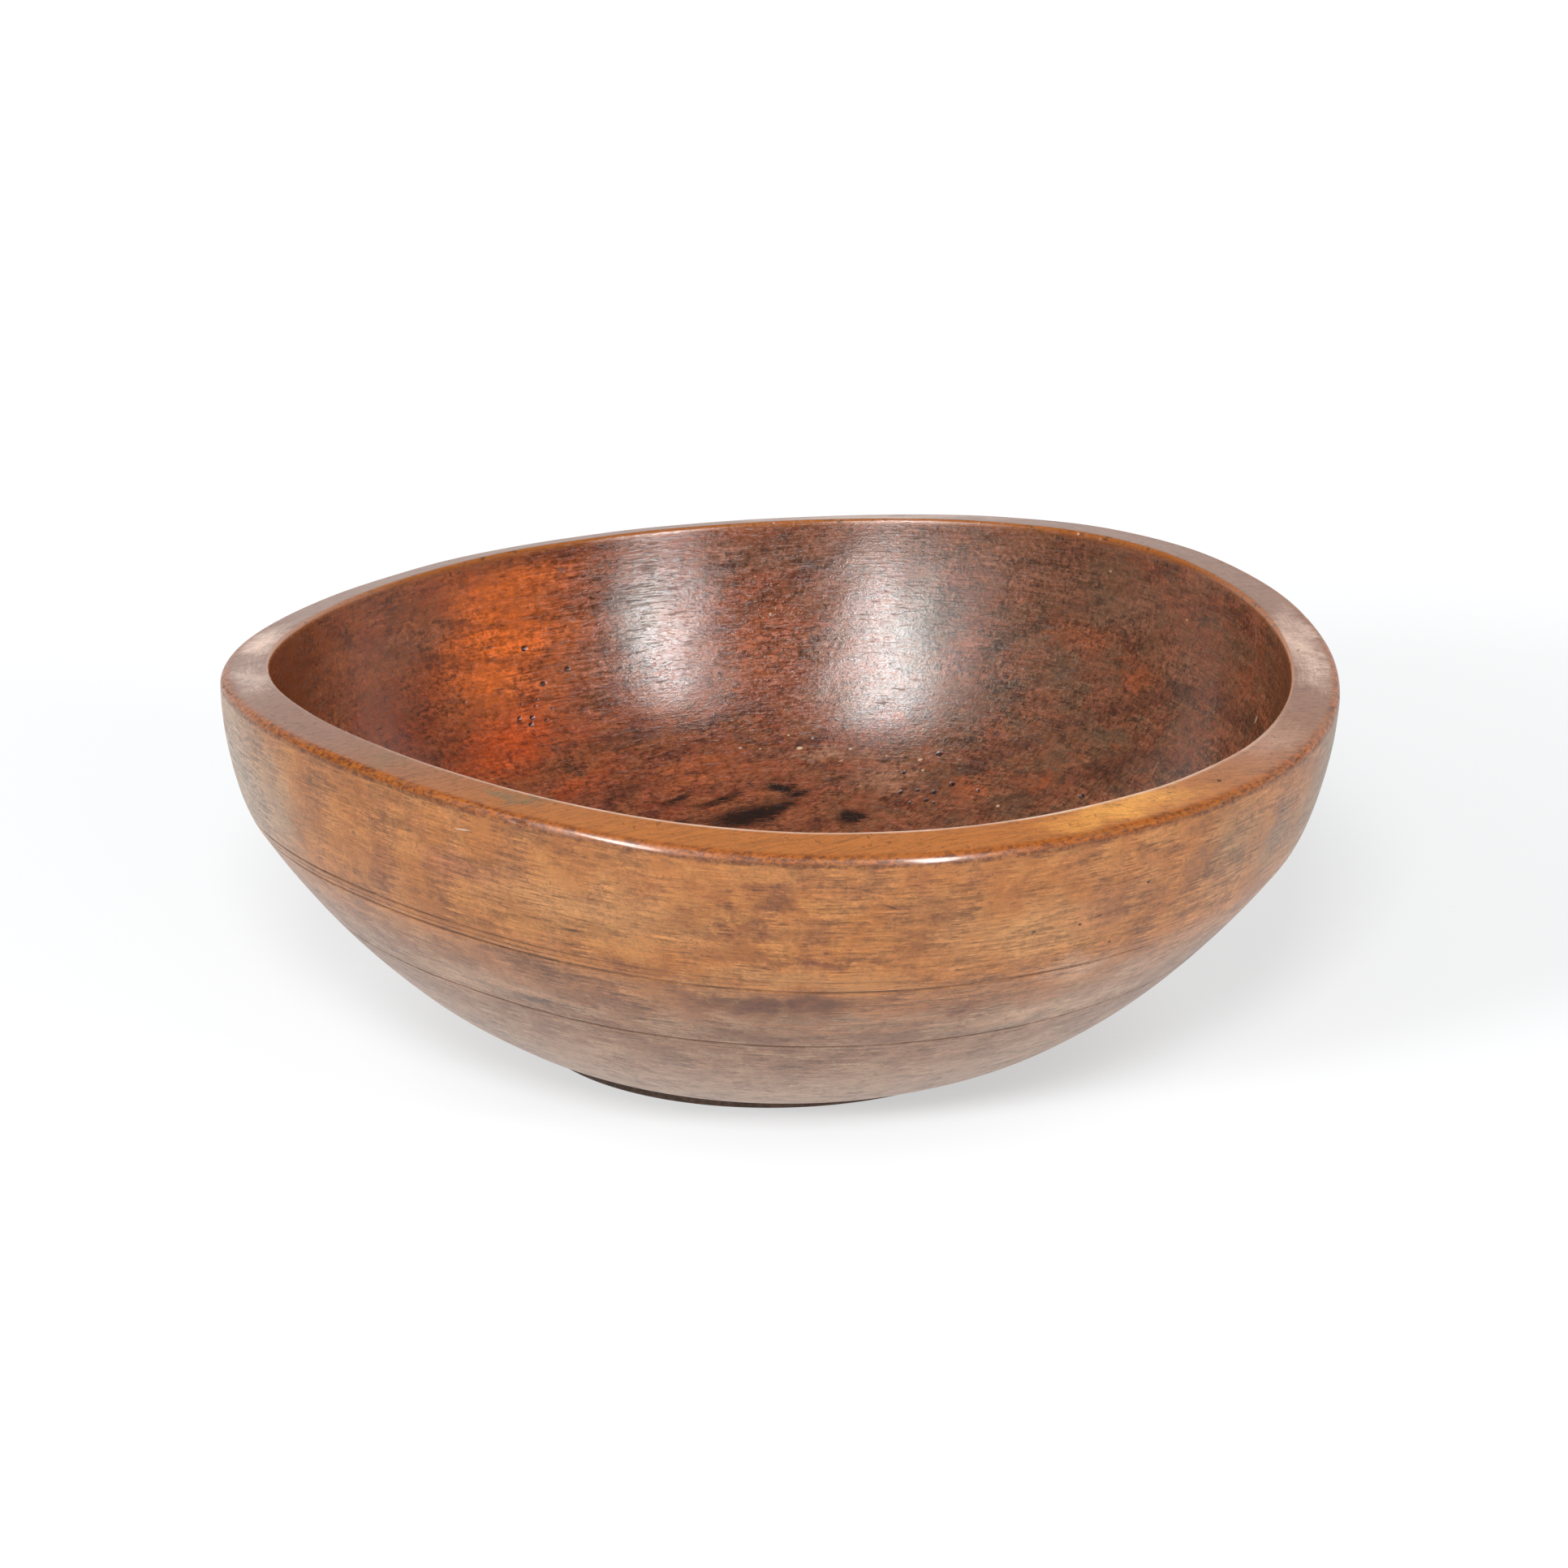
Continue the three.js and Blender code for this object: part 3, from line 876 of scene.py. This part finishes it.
# Dirt in fretted wood, freckles, pores, drips and scratches
fretted = marks(dragged, 1.0, [
    (-89, 281, 22, 4.5, 0, 1.0), (-89, 274, 24, 4.5, 0, 1.0), (-91, 263, 30, 6.0, 0, 1.0),
    (-75.5, 275, 8, 2.5, 0, 0.9), (-66, 222, 18, 6, 0, 0.9), (-82, 252, 34, 3.0, 0, 0.8),
    (-71, 272, 10, 12, 0, 0.8), (-73, 258, 6, 12, 0, 0.7), (-95, 268, 5, 14, 0, 0.7),
    (-101, 242, 30, 3, 0, 0.7), (-85, 226, 50, 6, 0, 0.9), (-104, 216, 30, 4, 0, 0.6),
    (-58, 246, 18, 4, 0, 0.5), (-60, 206, 14, 5, 0, 0.6), (-132, 284, 18, 5, 0, 0.5),
    (-144, 255, 12, 10, 0, 0.4), (-40, 270, 14, 8, 0, 0.4)])
flecks = spread(weighed((lines["Fine"], 0.45), (figure["Grime"], 0.55)), 0.48, 0.54)
tone = blended(times(fretted, spread(lines["Fine"], 0.42, 0.55), 0.7), tone, "84422A")
tone = blended(times(fretted, flecks, 0.75), tone, "50301F")
freckles = times(spread(figure["Grime"], 0.58, 0.68), spread(lines["Broad"], 0.4, 0.6), 0.7)
tone = blended(freckles, tone, "6A4630")
tone = blended(times(figure["Pores"], 0.35), tone, "5A3A28")
crisp_share = times(lines["Crisp"], spread(patches, 0.42, 0.6, 0.75, 0.15))
tone = blended(crisp_share, tone, "482C1E")
drips = scratches(block, [
    (-93.6, 288.7, -94.3, 255, 0.5, 0.6), (-73.3, 273.6, -72.4, 246.1, 0.5, 0.6),
    (-77.4, 277.4, -70, 280.3, 0.4, 0.8), (-77.3, 275.3, -75.3, 272.7, 0.4, 0.8),
    (-130.5, 289, -128, 269.7, 0.5, 0.35), (-137, 289, -131, 285, 0.3, 0.5),
    (-134, 291, -129, 287, 0.3, 0.5), (-109, 253.4, -105.8, 253.5, 0.7, 0.8),
    (-114, 238, -90, 238.6, 0.4, 0.4), (-140, 262, -137, 240, 0.5, 0.25)])
tone = blended(drips, tone, "3E281E")
scuffed = scratches(block, [
    (-119.7, 281.5, -117.3, 282.9, 0.4, 0.8), (-60, 265, -55, 266, 0.3, 0.4),
    (-100, 300, -97, 304, 0.3, 0.5), (-126, 294, -125.4, 306, 0.4, 0.5),
    (-79.4, 298.6, -78.6, 300, 0.6, 0.8)])
tone = blended(scuffed, tone, "DCC2A8")

# The top of the rim: greyer at the sides and back, with pale ends, as painted sheen where it is seen at
# a grazing angle
on_top = spread(profile_place, outer_arris - 0.4, outer_arris + 2)
front_way = (0.0012, -0.0047, 0)   # forward and a little to the right: about 1 at the rim
in_front = spread(vectors("DOT_PRODUCT", block, front_way), 0.35, 0.95)
# A greyer tone at the back and sides: painted sheen where the rim top is seen at a grazing angle.
top_tone = blended(in_front, "906650", "B46C30")
top_wear_and_sheen = [
    ("7C6A4C", [(-115, 304, 20, 7, 0, 0.9), (-131, 302, 14, 10, 0, 0.4)]),
    # Pale ends at the left, right and back: painted sheen.
    ("F0CDB8", [(176, 303, 40, 12, 0, 1.0), (8, 303, 60, 12, 0, 0.8), (-22, 303, 26, 12, 0, 0.22)]),
    ("F8DCCC", [(-166, 303, 34, 12, 0, 0.45), (84, 303, 90, 12, 0, 0.45)]),
    ("E6A04A", [(-50, 303, 55, 12, 0, 0.95)]),
]
top_tone = laid_over(top_tone, dragged, top_wear_and_sheen)
top_streaks = weighed((figure["Fibre"], 0.6), (figure["Speckle"], 0.25), (figure["Grime"], 0.25))
top_tone = shaded(top_tone, spread(top_streaks, 0.42, 0.58, 0.7, 1.18, smooth=False))
top_tone = blended(times(figure["Pores"], 0.5), top_tone, "6A4026")
top_tone = blended(times(spread(figure["Grime"], 0.57, 0.66), 0.6), top_tone, "5A2E14")
# A pale line along the inner edge at the front: a painted highlight.
painted_edge_highlight = times(spread(profile_place, inner_arris - 2.6, inner_arris - 1.5), in_front,
                  spread(lines["Broad"], 0.35, 0.55, 0.45, 0.9))
top_tone = blended(painted_edge_highlight, top_tone, "EFCDB4")
tone = blended(on_top, tone, top_tone)

# The rim's outer corner, the cut lines, and the foot, dark with painted shade
near_arris = sums("ABSOLUTE", sums("SUBTRACT", profile_place, outer_arris + 0.7))
worn = times(spread(near_arris, 0.8, 4.0, 1, 0), spread(lines["Broad"], 0.3, 0.55, 0.4, 0.95))
specked = weighed((figure["Speckle"], 0.5), (figure["Grime"], 0.5))
arris_tone = blended(spread(specked, 0.42, 0.56), "6E3818", "B8641E")
tone = blended(worn, tone, arris_tone)
below_arris = sums("ABSOLUTE", sums("SUBTRACT", profile_place, outer_arris - 1.9))
dirty = times(spread(below_arris, 0.2, 1.6, 1, 0), spread(figure["Grime"], 0.4, 0.6, 0.1, 0.85))
tone = blended(dirty, tone, "56290C")
crust = times(stored(tree, "chip"), spread(figure["Grime"], 0.35, 0.55))
tone = blended(times(crust, 0.8), tone, "3A1C0A")
cut_dirt = times(stored(tree, "cut"), spread(lines["Broad"], 0.3, 0.6, 0.6, 1))
tone = blended(times(cut_dirt, 0.9), tone, "33221A")
# The foot and the underside are dark: unpolished wood, with painted shade under the overhang of the
# body.
foot_tone_and_shade = blended(spread(figure["Grime"], 0.4, 0.6), "3A2618", "573C2A")
on_foot = spread(profile_place, starts["body"] - 0.4, starts["body"] + 0.6, 1, 0)
tone = blended(on_foot, tone, foot_tone_and_shade)
# Painted shade inside the beetle holes.
tone = blended(stored(tree, "pit"), tone, "3A2418")
give(shader["Base Color"], tone)

# A hard gleam along the corner where hands polished it, and the duller finish of the rest
shader["Coat Roughness"].default_value = 0.1
on_gleam = sums("ABSOLUTE", sums("SUBTRACT", profile_place, outer_arris - 0.7))
polished = marks(block, 0.8, [(-105, 291.5, 36, 6, 0, 1.0), (-71.5, 291.5, 27, 6, 0, 1.0)])
gleam = times(spread(on_gleam, 0.3, 1.2, 1, 0), polished, sums("SUBTRACT", 1, crust))
give(shader["Coat Weight"], gleam)
fretting = times(fretted, flecks)
dull = weighed((spread(streaks, 0.36, 0.64, 0.42, 0.3), 1), (stored(tree, "pit"), -0.1),
               (fretting, 0.05), (cut_dirt, 0.1), (gleam, -0.15), (crust, 0.25))
give(shader["Roughness"], dull)
height = weighed((lines["Fine"], 0.6), (figure["Fibre"], 0.3), (lines["Crisp"], -0.4),
                 (fretting, -0.5))
give(shader["Normal"], roughened(height, 0.25).outputs[0])

# Each face takes the finish of the side that it is on.
first_loops = np.empty(len(turned_mesh.polygons), np.int32)
turned_mesh.polygons.foreach_get("loop_start", first_loops)
loop_places = np.empty(len(turned_mesh.loops), np.int32)
turned_mesh.loops.foreach_get("vertex_index", loop_places)
is_outside = places_run[loop_places[first_loops]] < inner_arris - 1.2
turned_mesh.polygons.foreach_set("material_index", is_outside.astype(np.int32))


# Studio
# A white floor that keeps the bowl's soft shadows, and an even white surround. Some lamps light the
# bowl, some are only seen shining back from its polish, and the shadow lamps reach only the floor.
# The room behind the camera is dim to reflections, so that the polish keeps its colour.
ambient = 0.4   # how bright the floor and the surround are to light that scatters


def seen_rays(tree):
    """1 for rays from the camera, a reflection or through glass, and 0 for light that scatters."""
    path = put(tree, "LightPath").outputs
    seen = sums("MAXIMUM", path["Is Camera Ray"], path["Is Glossy Ray"])
    return sums("MAXIMUM", seen, path["Is Transmission Ray"])


floor_mesh = bpy.data.meshes.new("floor")
far = 9
corners = [(-far, -far, 0), (far, -far, 0), (far, far, 0), (-far, far, 0)]
floor_mesh.from_pydata(corners, [], [(0, 1, 2, 3)])
floor = stood("floor", floor_mesh)
floor_group = bpy.data.collections.new("floor_only")
floor_group.objects.link(floor)
bowl_group = bpy.data.collections.new("bowl_only")
bowl_group.objects.link(turned_bowl)
tree, shader = finish_of(floor_mesh, "floor", 0)
shader["Base Color"].default_value = (0.195, 0.2, 0.205, 1)
shader["Roughness"].default_value = 1

# What is seen of the floor glows white far out and less in front of the bowl; it glows least round the
# bowl's foot, as a painted contact shadow.
floor_place = put(tree, "TexCoord").outputs["Object"]
from_front = vectors("DISTANCE", floor_place, (0, -0.3, 0))
# A painted contact shadow round the foot: the floor glows less there.
painted_foot_shadow = spread(vectors("LENGTH", floor_place), 0.09, 0.17, 0.82, 1)
white_share = times(spread(from_front, 0.35, 1.9, 0.62, 1), painted_foot_shadow)
glow = spread(seen_rays(tree), 0, 1, ambient, white_share, smooth=False)
shader["Emission Strength"].default_value = 1
give(shader["Emission Color"], grey(glow))

world = bpy.data.worlds.new("studio")
world.use_nodes = True
tree = world.node_tree
give(tree.nodes["Background"].inputs["Strength"],
     spread(seen_rays(tree), 0, 1, ambient, 1, smooth=False))
tree.nodes["Background"].inputs["Color"].default_value = (1, 1, 1, 1)
scene.world = world

# The dim side of the room: part of a globe that only reflections meet. It reaches a little past
# the half that faces the dim way, and closes over everything above a height.
screen_radius = 7
screen_climb = radians(35)
screen_height = 3.9
screen_share = -0.2
screen_form = bmesh.new()
bmesh.ops.create_uvsphere(screen_form, u_segments=48, v_segments=24, radius=screen_radius)
dim_way = Vector((0, -cos(screen_climb), sin(screen_climb)))
beyond = [vert for vert in screen_form.verts
          if vert.co.normalized().dot(dim_way) < screen_share and vert.co.z < screen_height]
bmesh.ops.delete(screen_form, geom=beyond, context="VERTS")
screen_mesh = bpy.data.meshes.new("dim_screen")
screen_form.to_mesh(screen_mesh)
screen_form.free()
screen = stood("dim_screen", screen_mesh)
_, shader = finish_of(screen_mesh, "dim_screen", 0)
shader["Base Color"].default_value = (0, 0, 0, 1)
shader["Emission Color"].default_value = (1, 1, 1, 1)
shader["Emission Strength"].default_value = 0.1
for ray in ("camera", "diffuse", "shadow", "transmission"):
    setattr(screen, "visible_" + ray, False)

lamp_distance = 2.6
lamp_aim = Vector((0, 0, 0.1))


def lamp(name, bearing, climb, wide, tall, brightness, lean_over=0, lights="bowl", shines=False):
    """A soft box that faces the bowl: its bearing, climb and lean in degrees, its size in metres.
    One that shines shows only in reflections, and the others only light."""
    shape = bpy.data.lights.new(name, "AREA")
    shape.shape = "ELLIPSE" if shines else "RECTANGLE"
    shape.size = wide
    shape.size_y = tall
    area = wide * tall * (pi / 4 if shines else 1)
    shape.energy = brightness * area * pi   # watts for this brightness
    made = stood(name, shape)
    level = cos(radians(climb))
    way = Vector((cos(radians(bearing)) * level, sin(radians(bearing)) * level, sin(radians(climb))))
    turn = Quaternion(way, radians(lean_over)) @ way.to_track_quat("Z", "Y")
    made.matrix_world = Matrix.Translation(lamp_aim + way * lamp_distance) @ turn.to_matrix().to_4x4()
    made.visible_camera = False
    made.visible_diffuse = not shines
    made.visible_glossy = shines
    made.light_linking.receiver_collection = floor_group if lights == "floor" else bowl_group


lamp("soft_box_left", -106, 30, 0.62, 3.2, 4.0)
lamp("soft_box_right", -50, 22, 0.5, 2.6, 5.0)
lamp("soft_box_left_shine", -107, 37, 0.46, 3.8, 16.5, lean_over=13.5, shines=True)
lamp("soft_box_right_shine", -50, 25, 0.37, 2.9, 16.5, lean_over=-5, shines=True)
lamp("soft_box_left_edge", -124, 31, 0.7, 3.6, 1.8, lean_over=13.5, shines=True)
lamp("side_lamp_left", -165, 30, 0.6, 0.6, 10)
lamp("side_lamp_right", -15, 30, 0.6, 0.6, 3)
lamp("top_lamp", 90, 80, 2.0, 2.0, 1.3)
lamp("shadow_lamp_left", -133, 17, 0.5, 0.5, 160, lights="floor")
lamp("shadow_lamp_right", -22, 15, 0.4, 0.4, 100, lights="floor")
lamp("shadow_lamp_front", -95, 36, 0.6, 0.6, 85, lights="floor")
